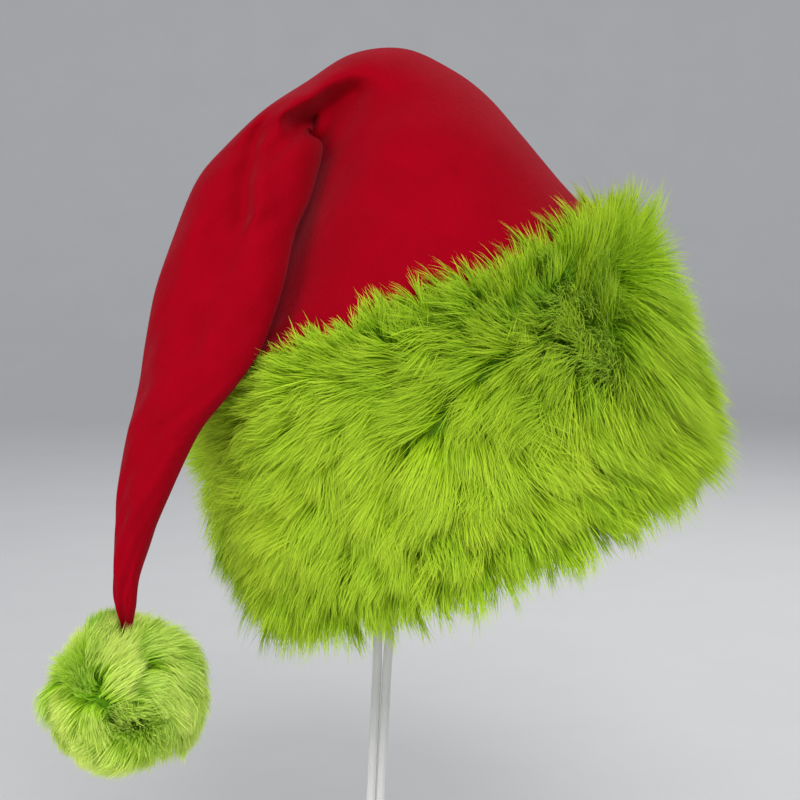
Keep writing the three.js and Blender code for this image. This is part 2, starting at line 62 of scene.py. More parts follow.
# Rows of the crown above the cuff: outer side, front and up, inner side, front and up, depth
# to the front and back, and how keen the outer and inner edges are. The inner edges at the
# fold are moved a few millimetres from the part's source, so that nothing shows through it.
CROWN_ROWS = [
    (0.86, 0, 0.39, -0.87, 0, -0.16, 0.97, 0.97, 0, 0.05),
    (0.74, 0, 0.5, -0.82, -0.04, -0.09, 0.92, 0.92, 0, 0.1),
    (0.56, 0, 0.67, -0.7, -0.1, 0.15, 0.8, 0.8, 0, 0.2),
    (0.4, 0, 0.81, -0.58, -0.15, 0.37, 0.67, 0.67, 0.05, 0.3),
    (0.23, 0, 0.91, -0.53, -0.15, 0.48, 0.54, 0.54, 0.1, 0.35),
    (0, 0, 0.99, -0.48, -0.11, 0.56, 0.43, 0.43, 0.15, 0.3),
    (-0.25, 0.01, 0.97, -0.47, -0.03, 0.61, 0.4, 0.36, 0.15, 0.2),
    (-0.47, 0.08, 0.86, -0.43, 0.08, 0.66, 0.35, 0.26, 0.15, 0.1),
    (-0.66, 0.17, 0.75, -0.44, 0.19, 0.66, 0.32, 0.19, 0.1, 0.05),
    (-0.83, 0.27, 0.62, -0.38, 0.31, 0.61, 0.29, 0.14, 0.05, 0.05),
]
FOLD_UP = 0.625
TAIL_ROWS = [
    (-0.96, 0.37, 0.08, -0.43, 0.44, 0.11, 0.27, 0.14, 0, 0.05),
    (-1.06, 0.47, 0.2, -0.5, 0.58, 0.19, 0.24, 0.13, 0, 0),
    (-1.13, 0.55, 0.31, -0.55, 0.73, 0.3, 0.21, 0.12, 0, 0),
    (-1.17, 0.6, 0.42, -0.64, 0.85, 0.42, 0.18, 0.1, 0, 0),
    (-1.2, 0.65, 0.52, -0.76, 0.89, 0.5, 0.16, 0.09, 0, 0),
    (-1.24, 0.7, 0.6, -0.92, 0.88, 0.59, 0.13, 0.1, 0, 0),
    (-1.28, 0.74, 0.7, -1.04, 0.86, 0.7, 0.11, 0.11, 0, 0),
    (-1.3, 0.77, 0.8, -1.14, 0.85, 0.8, 0.09, 0.09, 0, 0),
    (-1.31, 0.79, 0.9, -1.2, 0.84, 0.89, 0.07, 0.07, 0, 0),
    (-1.3, 0.8, 0.96, -1.22, 0.83, 0.96, 0.05, 0.05, 0, 0),
]
TAIL_TIP = (-1.26, 0.78, 1.05)
OUTER = slice(0, 3)
INNER = slice(3, 6)
FRONT_DEPTH, BACK_DEPTH, OUTER_EDGE, INNER_EDGE = 6, 7, 8, 9

# Folds: start row and place across, end row and place across, width in rows, rise
FOLDS = [
    (7, 0.55, 8.5, -0.05, 0.9, -0.03),
    (8.7, -0.1, 10, -0.5, 0.9, -0.06),
    (10.6, -0.4, 12, -0.15, 0.9, -0.08),
    (11.7, 0.35, 14, 0, 0.7, -0.04),
    (7.3, 0.7, 5, -0.15, 1, 0.03),
]
# Finer folds of the cloth, which the solid leaves out
FINE_FOLDS = [
    (7.3, 0.46, 8.3, 0.25, 0.6, -0.03),
    (8.3, 0.25, 9.6, -0.45, 0.6, -0.09),
    (9.7, -0.45, 11.5, -0.6, 0.5, -0.05),
    (11.2, -0.5, 12.1, -0.2, 0.4, -0.04),
    (8.8, 0.55, 10.8, 0, 0.5, 0.03),
    (10.8, 0, 11.8, -0.2, 0.4, 0.03),
    (11.5, 0.5, 13.6, -0.19, 0.3, -0.06),
    (12, 0.1, 13.4, -0.4, 0.35, 0.025),
    (13.8, -0.2, 16, -0.1, 0.4, -0.02),
    (13, 0.5, 17, 0.4, 0.5, 0.015),
    (3.2, -0.55, 6.5, -0.5, 0.5, 0.015),
    (3.5, 0.1, 6, 0.2, 0.6, -0.01),
]
ROWS_ACROSS = 2.0
BAND_TOP_ROW = 2
HOLLOW_END_ROW = 21
LAST_ROW = 22

# Waves of the loose cloth: turns along it and round it, their shift, and their share
SLACK_DEPTH = 0.9
SLACK_WAVES = [(1.7, 3, 0, 1), (3.1, -5, 1, 0.6), (5.3, 8, 2, 0.4)]

# The crown's grid: where its rings start, and how many lie between there and the next
CROWN_RINGS = [(0, 20), (2, 70), (8.5, 70), (12, 60), (16, 60)]
LINING_RINGS = [(0, 8), (2, 40), (8.5, 40), (12, 40)]
CROWN_SIDES = 168
NUDGE = 0.01
UV_SPAN = 500.0
FULL_TURN = 2 * math.pi

hat_axis = np.array([-math.sin(HAT_TILT), 0, math.cos(HAT_TILT)])
hat_right = np.array([math.cos(HAT_TILT), 0, math.sin(HAT_TILT)])
hat_back = np.array([0.0, 1.0, 0.0])
rim_middle = np.array([RIM_OFFSET, 0, RIM_HEIGHT])
band_top = rim_middle + hat_axis * BAND_HEIGHT
fold_height = band_top[2] + FOLD_UP * CROWN_RISE


def unit(vectors):
    return vectors / np.linalg.norm(vectors, axis=-1, keepdims=True)


def place_at(side, front, share, height, span):
    """A place from its shares, in millimetres."""
    return [band_top[0] + side * RIM_RADIUS, -front * RIM_RADIUS, height + share * span]


def cloth_table():
    """Every row of the cloth: outer and inner place, depths and edges."""
    rows = []
    for height in (0, BAND_HEIGHT / 2, BAND_HEIGHT):
        middle = rim_middle + hat_axis * height
        outer = middle + hat_right * RIM_RADIUS
        inner = middle - hat_right * RIM_RADIUS
        rows.append([*outer, *inner, RIM_RADIUS, RIM_RADIUS, 0, 0])
    for table, height, span in (
        (CROWN_ROWS, band_top[2], CROWN_RISE),
        (TAIL_ROWS, fold_height, -TAIL_HANG),
    ):
        for row in table:
            outer = place_at(*row[OUTER], height, span)
            inner = place_at(*row[INNER], height, span)
            depths = [row[FRONT_DEPTH] * RIM_RADIUS, row[BACK_DEPTH] * RIM_RADIUS]
            rows.append([*outer, *inner, *depths, row[OUTER_EDGE], row[INNER_EDGE]])
    return np.array(rows)


CLOTH = cloth_table()
TIP = np.array(place_at(*TAIL_TIP, fold_height, -TAIL_HANG))


def rows_at(place):
    """The cloth's rows at any places between them, on smooth curves."""
    last = len(CLOTH) - 1
    index = np.minimum(np.floor(place).astype(int), last - 1)
    before, start, end, after = (CLOTH[np.clip(index + n, 0, last)] for n in (-1, 0, 1, 2))
    share = (place - index)[..., None]
    square = share * share
    cube = square * share
    rows = (
        (2 * cube - 3 * square + 1) * start
        + (cube - 2 * square + share) * (end - before) / 2
        + (3 * square - 2 * cube) * end
        + (cube - square) * (after - start) / 2
    )
    rows[..., OUTER_EDGE:] = np.maximum(rows[..., OUTER_EDGE:], 0)
    return rows


def fold_rise(place, across):
    """How far the folds lift the cloth's front, in millimetres."""
    rise = np.zeros(np.broadcast(place, across).shape)
    for row, start, end_row, end, width, height in FOLDS + FINE_FOLDS:
        along = np.array([end_row - row, (end - start) * ROWS_ACROSS])
        from_row = place - row
        from_across = (across - start) * ROWS_ACROSS
        share = np.clip((from_row * along[0] + from_across * along[1]) / (along @ along), 0, 1)
        distance = np.hypot(from_row - share * along[0], from_across - share * along[1]) / width
        rise = rise + height * RIM_RADIUS * np.exp(-distance * distance)
    return rise


def slack(place, angle):
    """Soft waves of the loose cloth, which fade out under the cuff, in millimetres."""
    wave = sum(
        share * np.sin(along * place + turns * angle + shift)
        for along, turns, shift, share in SLACK_WAVES
    )
    return SLACK_DEPTH * wave * np.clip(place - BAND_TOP_ROW, 0, 1)


def cloth_points(place, angle):
    """Points on the outside of the cloth, in millimetres."""
    row = rows_at(place)
    middle = (row[..., OUTER] + row[..., INNER]) / 2
    half = row[..., OUTER] - middle
    breadth = unit(half)
    facing = unit(breadth[..., 1:2] * breadth - hat_back)
    across = np.cos(angle)
    sine = np.sin(angle)
    keen = (1 + across) ** row[..., INNER_EDGE] * (1 - across) ** row[..., OUTER_EDGE]
    loose = slack(place, angle)
    front = row[..., FRONT_DEPTH] * keen + fold_rise(place, across) + loose
    back = row[..., BACK_DEPTH] * keen + loose
    depth = np.where(sine > 0, front, back)
    return middle + half * across[..., None] + facing * (depth * sine)[..., None]


def cloth_surface(place, angle, offset):
    """Points of the cloth's outside, moved out by an offset."""
    ahead = cloth_points(np.minimum(place + NUDGE, LAST_ROW), angle)
    behind = cloth_points(np.maximum(place - NUDGE, 0), angle)
    around = cloth_points(place, angle + NUDGE) - cloth_points(place, angle - NUDGE)
    normal = unit(np.cross(ahead - behind, around))
    return cloth_points(place, angle) + normal * offset


def mesh_piece(name, points, quads, triangles, uv, material):
    """A smooth mesh from points and their texture places, and corner numbers."""
    loops = np.concatenate([np.ravel(quads), np.ravel(triangles)]).astype(np.int32)
    totals = np.repeat([4, 3], [len(quads), len(triangles)]).astype(np.int32)
    starts = np.concatenate([[0], np.cumsum(totals)[:-1]]).astype(np.int32)
    mesh = bpy.data.meshes.new(name)
    mesh.vertices.add(len(points))
    mesh.vertices.foreach_set("co", (points * MM).astype(np.float32).ravel())
    mesh.loops.add(len(loops))
    mesh.loops.foreach_set("vertex_index", loops)
    mesh.polygons.add(len(totals))
    mesh.polygons.foreach_set("loop_start", starts)
    mesh.polygons.foreach_set("loop_total", totals)
    mesh.polygons.foreach_set("use_smooth", np.full(len(totals), True))
    layer = mesh.uv_layers.new(name="OFBake")
    layer.data.foreach_set("uv", uv[loops].astype(np.float32).ravel())
    mesh.update(calc_edges=True)
    mesh.validate()
    mesh.materials.append(material)
    piece = bpy.data.objects.new(name, mesh)
    bpy.context.scene.collection.objects.link(piece)
    return piece


def tube_faces(rings, sides):
    """The faces between rings of corners, and caps to one more corner at each end."""
    here = (np.arange(rings - 1) * sides)[:, None]
    side = np.arange(sides)[None, :]
    beside = (side + 1) % sides
    quads = np.stack(
        [here + sides + side, here + sides + beside, here + beside, here + side], axis=-1,
    )
    start, last = rings * sides, (rings - 1) * sides
    caps = [[n, beside[0, n], start] for n in range(sides)]
    caps += [[last + beside[0, n], last + n, start + 1] for n in range(sides)]
    return quads.reshape(-1, 4), np.array(caps)


def flat_uv(points):
    return points[:, [0, 2]] / UV_SPAN


def ring_places(spans, end):
    """Where the rings lie, from how many there are in each span."""
    starts = [start for start, _ in spans] + [end]
    runs = [
        np.linspace(start, starts[n + 1], count, endpoint=False)
        for n, (start, count) in enumerate(spans)
    ]
    return np.append(np.concatenate(runs), end)


def crown_piece(material):
    """The crown: its inside from the tail to the rim, then its outside to the tip."""
    inside = ring_places(LINING_RINGS, HOLLOW_END_ROW)[::-1]
    outside = ring_places(CROWN_RINGS, LAST_ROW)
    share = np.arange(CROWN_SIDES) / CROWN_SIDES
    angle = (share * FULL_TURN)[None, :]
    inner = cloth_surface(inside[:, None], angle, -CLOTH_WALL)
    outer = cloth_surface(outside[:, None], angle, 0)
    rings = np.concatenate([inner, outer])
    points = np.vstack([rings.reshape(-1, 3), rings[0].mean(axis=0), TIP])
    quads, caps = tube_faces(len(rings), CROWN_SIDES)
    length = np.append(np.linspace(0, 0.5, len(inside)), np.linspace(0.5, 1, len(outside)))
    uv = np.stack([np.tile(share, len(rings)), np.repeat(length, CROWN_SIDES)], axis=-1)
    uv = np.vstack([uv, [[0.5, 0], [0.5, 1]]])
    return mesh_piece("crown_cloth", points, quads, caps, uv, material)


# Stations round the pile's section: out, up, comb, reach and lay, as in the part's source
PILE_STATIONS = np.array([
    (0, -1, 0, 0.8, 0),
    (0.5, -0.97, 0, 1, 0.3),
    (0.85, -0.8, 0.05, 1, 0.9),
    (1, -0.5, 0.1, 0.9, 1),
    (1, -0.17, 0.3, 0.9, 1),
    (1, 0.17, 0.6, 0.9, 0.9),
    (1, 0.5, 1, 0.9, 0.9),
    (0.85, 0.8, 1.5, 1, 0.8),
    (0.5, 0.97, 1.6, 0.8, 0.3),
    (0, 1, 1.6, 0.8, 0.3),
])
STATION_COLUMNS = PILE_STATIONS.shape[1]

# The tail presses the pile in here: turn round the cuff and share up it
PRESS_SHARE = 0.75
PRESS_PLACE = (math.radians(218), 0.8)
PRESS_SPREAD = (math.radians(34), 0.9)
PILE_INSIDE = RIM_RADIUS + FIT_GAP
HALF_PILE = BAND_HEIGHT / 2 + PILE_OVERHANG
BACKING_RINGS = 120
BACKING_STEPS = 40
BACKING_DEPTH = 0.5  # share of the pile's depth that the dense pile fills
ROOT_DEPTH = 0.3  # share of the pile's depth at which the hairs start
PROFILE_STEP = 0.5


def pile_press(around, up):
    """The share of its depth that the pile is pressed in by."""
    turn = around - PRESS_PLACE[0]
    aside = np.arctan2(np.sin(turn), np.cos(turn)) / PRESS_SPREAD[0]
    above = (up - PRESS_PLACE[1]) / PRESS_SPREAD[1]
    return PRESS_SHARE * np.exp(-aside * aside - above * above)


def profile():
    """How far each station is along the pile's section, in millimetres."""
    out = PILE_STATIONS[:, 0] * PILE_DEPTH
    up = PILE_STATIONS[:, 1] * HALF_PILE
    return np.concatenate([[0], np.cumsum(np.hypot(np.diff(out), np.diff(up)))])


PROFILE = profile()


def station_at(along):
    """The stations' columns at any distances along the pile's section."""
    columns = [np.interp(along, PROFILE, PILE_STATIONS[:, n]) for n in range(STATION_COLUMNS)]
    return np.stack(columns, axis=-1)


def spoke_at(around):
    return hat_right * np.cos(around)[..., None] + hat_back * np.sin(around)[..., None]


def pile_place(around, along, depth):
    """Points of the cuff at a share of the pile's depth, in millimetres."""
    station = station_at(along)
    out, up = station[..., 0], station[..., 1]
    free = 1 - pile_press(around, up)
    radius = PILE_INSIDE + PILE_DEPTH * out * free * depth
    height = BAND_HEIGHT / 2 + (BAND_HEIGHT / 2 + PILE_OVERHANG * depth) * up
    return rim_middle + hat_axis * height[..., None] + spoke_at(around) * radius[..., None]


def cuff_backing(material):
    """The short dense pile under the long hair, a closed ring."""
    around = np.arange(BACKING_RINGS) / BACKING_RINGS * FULL_TURN
    along = np.linspace(0, PROFILE[-1], BACKING_STEPS)
    around, along = np.meshgrid(around, along, indexing="ij")
    points = pile_place(around, along, BACKING_DEPTH).reshape(-1, 3)
    here = (np.arange(BACKING_RINGS) * BACKING_STEPS)[:, None]
    after = np.roll(here, -1, axis=0)
    step = np.arange(BACKING_STEPS)[None, :]
    beyond = (step + 1) % BACKING_STEPS
    quads = np.stack([here + step, after + step, after + beyond, here + beyond], axis=-1)
    return mesh_piece("cuff_backing", points, quads.reshape(-1, 4), [], flat_uv(points), material)


# One hair is a flat tapered ribbon: a pair of corners at each share of its length, and its tip
HAIR_SHARES = np.array([0.0, 0.4, 0.75, 1.0])
HAIR_WIDTHS = np.array([0.8, 0.68, 0.38])
HAIR_CORNERS = 7
HAIR_QUADS = np.array([[0, 1, 3, 2], [2, 3, 5, 4]])
HAIR_TIP = np.array([4, 5, 6])
FACE_SPREAD = 0.45  # how far a hair's flat side turns from facing out
TINT_SPREADS = (0.16, 0.12)
TINT_LIMITS = (0.02, 0.98)


def hair_piece(name, lines, facing, tint, width, material):
    """A piece of fur from each hair's four points, its way out, its tint and its width."""
    sides = hair_sides(lines, facing)
    count = len(lines)
    half = (HAIR_WIDTHS[None, :] * width[:, None] / 2)[..., None]
    pairs = np.stack([lines[:, :-1] - sides * half, lines[:, :-1] + sides * half], axis=2)
    corners = [pairs.reshape(count, -1, 3), lines[:, -1:]]
    points = np.concatenate(corners, axis=1).reshape(-1, 3)
    base = np.arange(count) * HAIR_CORNERS
    quads = (base[:, None, None] + HAIR_QUADS).reshape(-1, 4)
    tips = base[:, None] + HAIR_TIP
    share = np.append(np.repeat(HAIR_SHARES[:-1], 2), HAIR_SHARES[-1])
    uv = np.stack([np.repeat(tint, HAIR_CORNERS), np.tile(share, count)], axis=-1)
    return mesh_piece(name, points, quads, tips, uv, material)


def hair_sides(lines, facing):
    """The way across each hair, so that its flat side roughly faces out."""
    along = np.gradient(lines, axis=1)[:, :-1]
    tilt = facing + rng.normal(0, FACE_SPREAD, facing.shape)
    return unit(np.cross(along, tilt[:, None, :]))


def nearest(places, centres):
    """The number of the nearest centre to each place, in two or three dimensions."""
    flat = (0.0,) * (3 - centres.shape[1])
    tree = KDTree(len(centres))
    for number, centre in enumerate(centres):
        tree.insert((*centre, *flat), number)
    tree.balance()
    return np.array([tree.find((*place, *flat))[1] for place in places])


def varied(tuft, tufts, spreads):
    """Chance from tuft to tuft, with its own from hair to hair."""
    return rng.normal(0, spreads[0], tufts)[tuft] + rng.normal(0, spreads[1], len(tuft))


def tints(tuft, tufts):
    return np.clip(0.5 + varied(tuft, tufts, TINT_SPREADS), *TINT_LIMITS)


# The cuff's fur, with its lengths in millimetres
HAIRS_ON_CUFF = 128000
CUFF_PIECES = 4
CUFF_TUFTS = 900
CUFF_WISPS = 6000
CUFF_GIRTH = FULL_TURN * (RIM_RADIUS + PILE_DEPTH)
CUFF_WIDTHS = (0.45, 0.8)
CUFF_ROOM = 0.6  # the least way between a hair and the cloth
REACH_RANGE = (6, 13)
LAY_RANGE = (6, 18)
HAIR_SAG = np.array([0, 0, -3.0])
HAIR_STRAY = 1.8
TUFT_PULL = 0.35
WISP_PULL = 0.6

# How the comb changes: turns round the cuff, turns along its section, shift and size
COMB_WAVES = [(3, 0.05, 0, 0.16), (7, 0, 1, 0.1)]
COMB_SPREADS = (0.28, 0.1)
SIZE_SPREADS = (0.13, 0.12)
SIZE_LIMITS = (0.6, 1.25)

# Longer wisps near the cuff's two rims
RIM_FROM = 0.5
RIM_RATE = 3
WISP_SHAPE = 1
WISP_SCALE = 0.35
WISP_MOST = 0.9

# The fur is shorter at the rims, by its place up the section, and longer at the cuff's ends
REACH_AT_RIMS = ([-1, -0.6, 0.5, 1], [0.62, 1, 1, 0.6])
LAY_AT_RIMS = ([-1, -0.5, -0.1, 0.4, 0.9], [0.28, 0.5, 0.95, 0.85, 0.4])
END_REACH = 0.3
END_POWER = 3
END_FROM = 0.9
RIGHT_END = 0.45  # where the fur starts to turn straight towards the cuff's right end
LEAST_COMB = 0.5
PRESS_ON_HAIR = 0.8

# How a hair's parts grow along it, as powers of the share of its length
REACH_POWER = 0.8
LAY_POWER = 1.5
PULL_POWER = 1.3
SAG_POWER = 2


def cuff_ways(around, along):
    """Out of the pile, round it to the viewer's left, and up along its section."""
    spoke = spoke_at(around)
    left = -np.cross(hat_axis, spoke)
    before = station_at(np.maximum(along - PROFILE_STEP, 0))
    after = station_at(np.minimum(along + PROFILE_STEP, PROFILE[-1]))
    out = (after[:, 0] - before[:, 0]) * PILE_DEPTH
    up = (after[:, 1] - before[:, 1]) * HALF_PILE
    rising = unit(spoke * out[:, None] + hat_axis * up[:, None])
    return unit(np.cross(rising, left)), left, rising


def scattered(count):
    """Chance places on the cuff, laid out flat."""
    return np.stack([rng.uniform(0, CUFF_GIRTH, count), rng.uniform(0, PROFILE[-1], count)], -1)


def gather(flat, centres, number, left, rising, share):
    """How far each hair leans to the middle of its own tuft by its tip."""
    away = centres[number] - flat
    return share * (left * -away[:, :1] + rising * away[:, 1:])


def combed_way(comb, around, left, rising):
    """The way that each hair lies, from its comb in quarter turns."""
    turn = comb * math.pi / 2
    to_left = 1 - np.clip((np.cos(around) - RIGHT_END) / (1 - RIGHT_END), 0, 1)
    way = rising * -np.cos(turn)[:, None] + left * (np.sin(turn) * to_left)[:, None]
    return way / np.maximum(np.linalg.norm(way, axis=1, keepdims=True), LEAST_COMB)


def cuff_hairs():
    """Lines, way out, tint and turn of every hair on the cuff, in millimetres."""
    around = rng.uniform(0, FULL_TURN, HAIRS_ON_CUFF)
    along = rng.uniform(0, PROFILE[-1], HAIRS_ON_CUFF)
    flat = np.stack([around / FULL_TURN * CUFF_GIRTH, along], axis=-1)
    tufts = scattered(CUFF_TUFTS)
    wisps = scattered(CUFF_WISPS)
    tuft = nearest(flat, tufts)
    wisp = nearest(flat, wisps)
    _, up, comb, reach, lay = station_at(along).T
    for turns, steps, shift, height in COMB_WAVES:
        comb = comb + height * np.sin(turns * around + steps * along + shift)
    comb = comb + varied(tuft, CUFF_TUFTS, COMB_SPREADS)
    size = np.clip(1 + varied(tuft, CUFF_TUFTS, SIZE_SPREADS), *SIZE_LIMITS)
    at_rim = np.clip((np.abs(up) - RIM_FROM) * RIM_RATE, 0, 1)
    size = size + at_rim * rng.gamma(WISP_SHAPE, WISP_SCALE, CUFF_WISPS)[wisp].clip(0, WISP_MOST)
    size = size * (1 - PRESS_ON_HAIR * pile_press(around, up))
    outward, left, rising = cuff_ways(around, along)
    combed = combed_way(comb, around, left, rising)
    at_end = np.abs(np.cos(around)) ** END_POWER * np.clip(up + END_FROM, 0, 1)
    reach = (REACH_RANGE[0] + REACH_RANGE[1] * reach) * size * (1 + END_REACH * at_end)
    reach = reach * np.interp(up, *REACH_AT_RIMS)
    lay = (LAY_RANGE[0] + LAY_RANGE[1] * lay) * size * np.interp(up, *LAY_AT_RIMS)
    aside = gather(flat, tufts, tuft, left, rising, TUFT_PULL)
    aside = aside + gather(flat, wisps, wisp, left, rising, WISP_PULL)
    aside = aside + rng.normal(0, HAIR_STRAY, (HAIRS_ON_CUFF, 3))
    root = pile_place(around, along, ROOT_DEPTH)
    lines = [
        root
        + outward * (reach * share ** REACH_POWER)[:, None]
        + combed * (lay * share ** LAY_POWER)[:, None]
        + aside * share ** PULL_POWER
        + HAIR_SAG * share ** SAG_POWER
        for share in HAIR_SHARES
    ]
    return np.stack(lines, axis=1), outward, tints(tuft, CUFF_TUFTS), around


# The pompom, with its middle in shares of its radius from the tail's tip
POMPOM_PLACE = np.array([-0.08, 0.28, -0.6])
POMPOM_ROOTS = 0.5
POMPOM_CORE = 0.65
CORE_RINGS = 22
CORE_SIDES = 36
HAIRS_ON_POMPOM = 30000
POMPOM_TUFTS = 110
POMPOM_WISPS = 1300
POMPOM_WIDTHS = (0.5, 0.9)
POMPOM_ROOM = 0.4
POMPOM_MOST = 1.06  # the furthest that a hair reaches, as a share of its size
POMPOM_SIZE_SPREADS = (0.03, 0.03)
PLACE_SPREADS = (0.02, 0.08, 0.04)

# How the tufts swirl along each axis: turns over the side, turns up, shift, size and lean
SWIRL_WAVES = [
    (0, 2.6, 0.6, 1, 0),
    (3, 0, math.pi / 2, 0.5, 0),
    (3.2, 1.7, math.pi / 2, 1, -0.25),
]
SWIRL_SPREADS = (0.35, 0.12)

# A hair's comb and pulls: length in millimetres, and the power that it grows with
OUT_POWER = 0.7
COMB_PULL = (12, 1.5)
BALL_TUFT_PULL = (4, 1.4)
BALL_WISP_PULL = (16, 1)
pompom_middle = TIP + POMPOM_PLACE * POMPOM_RADIUS


def ball_places(count, spread):
    """Even places all over a ball, each a little astray."""
    height = 1 - 2 * (np.arange(count) + 0.5) / count
    turn = np.arange(count) * math.pi * (3 - math.sqrt(5))
    girth = np.sqrt(1 - height * height)
    even = np.stack([girth * np.cos(turn), girth * np.sin(turn), height], axis=-1)
    return unit(even + rng.normal(0, spread, (count, 3)))


def pompom_hairs():
    """Lines, way out and tint of every hair on the pompom, in millimetres."""
    way = ball_places(HAIRS_ON_POMPOM, PLACE_SPREADS[0])
    tufts = ball_places(POMPOM_TUFTS, PLACE_SPREADS[1])
    wisps = ball_places(POMPOM_WISPS, PLACE_SPREADS[2])
    tuft = nearest(way, tufts)
    wisp = nearest(way, wisps)
    swirl = np.stack([
        height * np.sin(over * tufts[:, 0] + upward * tufts[:, 2] + shift) + lean
        for over, upward, shift, height, lean in SWIRL_WAVES
    ], axis=-1)
    comb = (swirl + rng.normal(0, SWIRL_SPREADS[0], (POMPOM_TUFTS, 3)))[tuft]
    comb = comb + rng.normal(0, SWIRL_SPREADS[1], (HAIRS_ON_POMPOM, 3))
    comb = comb - way * np.sum(comb * way, axis=1, keepdims=True)
    size = POMPOM_RADIUS * (1 + varied(tuft, POMPOM_TUFTS, POMPOM_SIZE_SPREADS))[:, None]
    pulls = [
        (comb, COMB_PULL),
        (tufts[tuft] - way, BALL_TUFT_PULL),
        (wisps[wisp] - way, BALL_WISP_PULL),
    ]
    lines = []
    for share in HAIR_SHARES:
        away = way * size * (POMPOM_ROOTS + (1 - POMPOM_ROOTS) * share ** OUT_POWER)
        for pull, (length, power) in pulls:
            away = away + pull * length * share ** power
        far = np.linalg.norm(away, axis=1, keepdims=True)
        lines.append(pompom_middle + away * np.minimum(1, size * POMPOM_MOST / far))
    return np.stack(lines, axis=1), way, tints(tuft, POMPOM_TUFTS)


def pompom_core(material):
    """The tight ball that the pompom's hairs are tied into."""
    down = np.linspace(0, math.pi, CORE_RINGS + 2)[1:-1, None]
    turn = (np.arange(CORE_SIDES) / CORE_SIDES * FULL_TURN)[None, :]
    ball = np.stack([
        np.sin(down) * np.cos(turn), np.sin(down) * np.sin(turn), np.cos(down) + 0 * turn,
    ], axis=-1).reshape(-1, 3)
    ball = np.vstack([ball, [[0, 0, 1], [0, 0, -1]]])
    points = pompom_middle + POMPOM_RADIUS * POMPOM_CORE * ball
    quads, caps = tube_faces(CORE_RINGS, CORE_SIDES)
    return mesh_piece("pompom_core", points, quads, caps, flat_uv(points), material)


DEEPEST = 0.02  # metres behind the cloth's nearest face that still count as inside it


def clear_of(piece, lines, room):
    """Which hairs stay at least this far outside a closed piece."""
    corners = [vertex.co for vertex in piece.data.vertices]
    tree = BVHTree.FromPolygons(corners, [face.vertices for face in piece.data.polygons])
    points = lines[:, 1:].reshape(-1, 3) * MM
    room = room * MM
    low, high = np.min(corners, axis=0), np.max(corners, axis=0)
    near = np.all((points > low - room) & (points < high + room), axis=1)
    bad = np.zeros(len(points), dtype=bool)
    for number in np.nonzero(near)[0]:
        point = Vector(points[number])
        place, normal, _, distance = tree.find_nearest(point)
        inside = (point - place).dot(normal) < 0 and distance < DEEPEST
        bad[number] = distance < room or inside
    return ~bad.reshape(len(lines), -1).any(axis=1)


# Colours, dark and light or from root to tip; along a hair, the dark root end is painted shade
# deep in the pile and the pale tip end a painted highlight
FLEECE = [(0.33, 0.0, 0.007), (0.37, 0.0, 0.009)]
FLEECE_SHEEN = (1.0, 0.3, 0.4, 1)
# Lime fur from root to tip: painted shade at the root, the fur's own lime in the middle, and a
# painted highlight at the tip
LIME_ROOT_SHADE_TIP_LIGHT = [(0.29, 0.54, 0.006), (0.44, 0.68, 0.014), (0.58, 0.79, 0.045)]
LIME_SHADES = [(0.86, 0.95, 0.85), (1, 1, 1), (1.1, 1.02, 1.1)]
# The pompom's fur from root to tip: painted shade at the root, its own lime in the middle, and a
# painted highlight at the tip
BRIGHT_LIME_ROOT_SHADE_TIP_LIGHT = [(0.4, 0.74, 0.012), (0.66, 0.95, 0.06), (0.84, 0.99, 0.24)]
BRIGHT_SHADES = [(0.8, 0.94, 0.75), (1, 1, 1), (1.1, 1.03, 1.15)]
LIME_SHEEN = (0.75, 1.0, 0.25, 1)
# The dense pile's dark green is painted shade deep in the pile and inside the pompom
BACKING_PAINTED_SHADE = [(0.12, 0.3, 0.004), (0.2, 0.42, 0.008)]
COATING = [(0.74, 0.74, 0.72), (0.82, 0.82, 0.8)]
FLOOR = [(0.74, 0.74, 0.73), (0.76, 0.76, 0.75)]
MOTTLE_STOPS = (0.3, 0.7)
BACKING_STOPS = (0.35, 0.7)
ROOT_SHADE_TIP_LIGHT_STOPS = (0, 0.45, 1)
SHADE_STOPS = (0, 0.5, 1)


def new_material(name, **values):
    """A material whose shader has these plain values, by name."""
    material = bpy.data.materials.new(name)
    material.use_nodes = True
    nodes = material.node_tree.nodes
    shader = nodes["Principled BSDF"]
    for socket, value in values.items():
        shader.inputs[socket.replace("_", " ")].default_value = value
    return material, nodes, material.node_tree.links, shader


def ramp(nodes, stops, colours):
    """A colour ramp from its stops and their colours."""
    node = nodes.new("ShaderNodeValToRGB")
    elements = node.color_ramp.elements
    for number, (place, colour) in enumerate(zip(stops, colours)):
        if number >= len(elements):
            elements.new(place)
        elements[number].position = place
        elements[number].color = (*colour, 1)
    return node


def noise(nodes, links, scale, detail=3.0, roughness=0.6):
    """Noise in the object's own metres."""
    place = nodes.new("ShaderNodeTexCoord")
    node = nodes.new("ShaderNodeTexNoise")
    node.inputs["Scale"].default_value = scale
    node.inputs["Detail"].default_value = detail
    node.inputs["Roughness"].default_value = roughness
    links.new(place.outputs["Object"], node.inputs["Vector"])
    return node.outputs["Fac"]


def mottle(nodes, links, shader, scale, colours, stops=MOTTLE_STOPS):
    """Two close colours in soft patches."""
    blend = ramp(nodes, stops, colours)
    links.new(noise(nodes, links, scale), blend.inputs["Fac"])
    links.new(blend.outputs["Color"], shader.inputs["Base Color"])


def emboss(nodes, links, shader, height, strength, distance):
    """A fine raised surface, its distance in metres."""
    bump = nodes.new("ShaderNodeBump")
    bump.inputs["Strength"].default_value = strength
    bump.inputs["Distance"].default_value = distance
    links.new(height, bump.inputs["Height"])
    links.new(bump.outputs["Normal"], shader.inputs["Normal"])


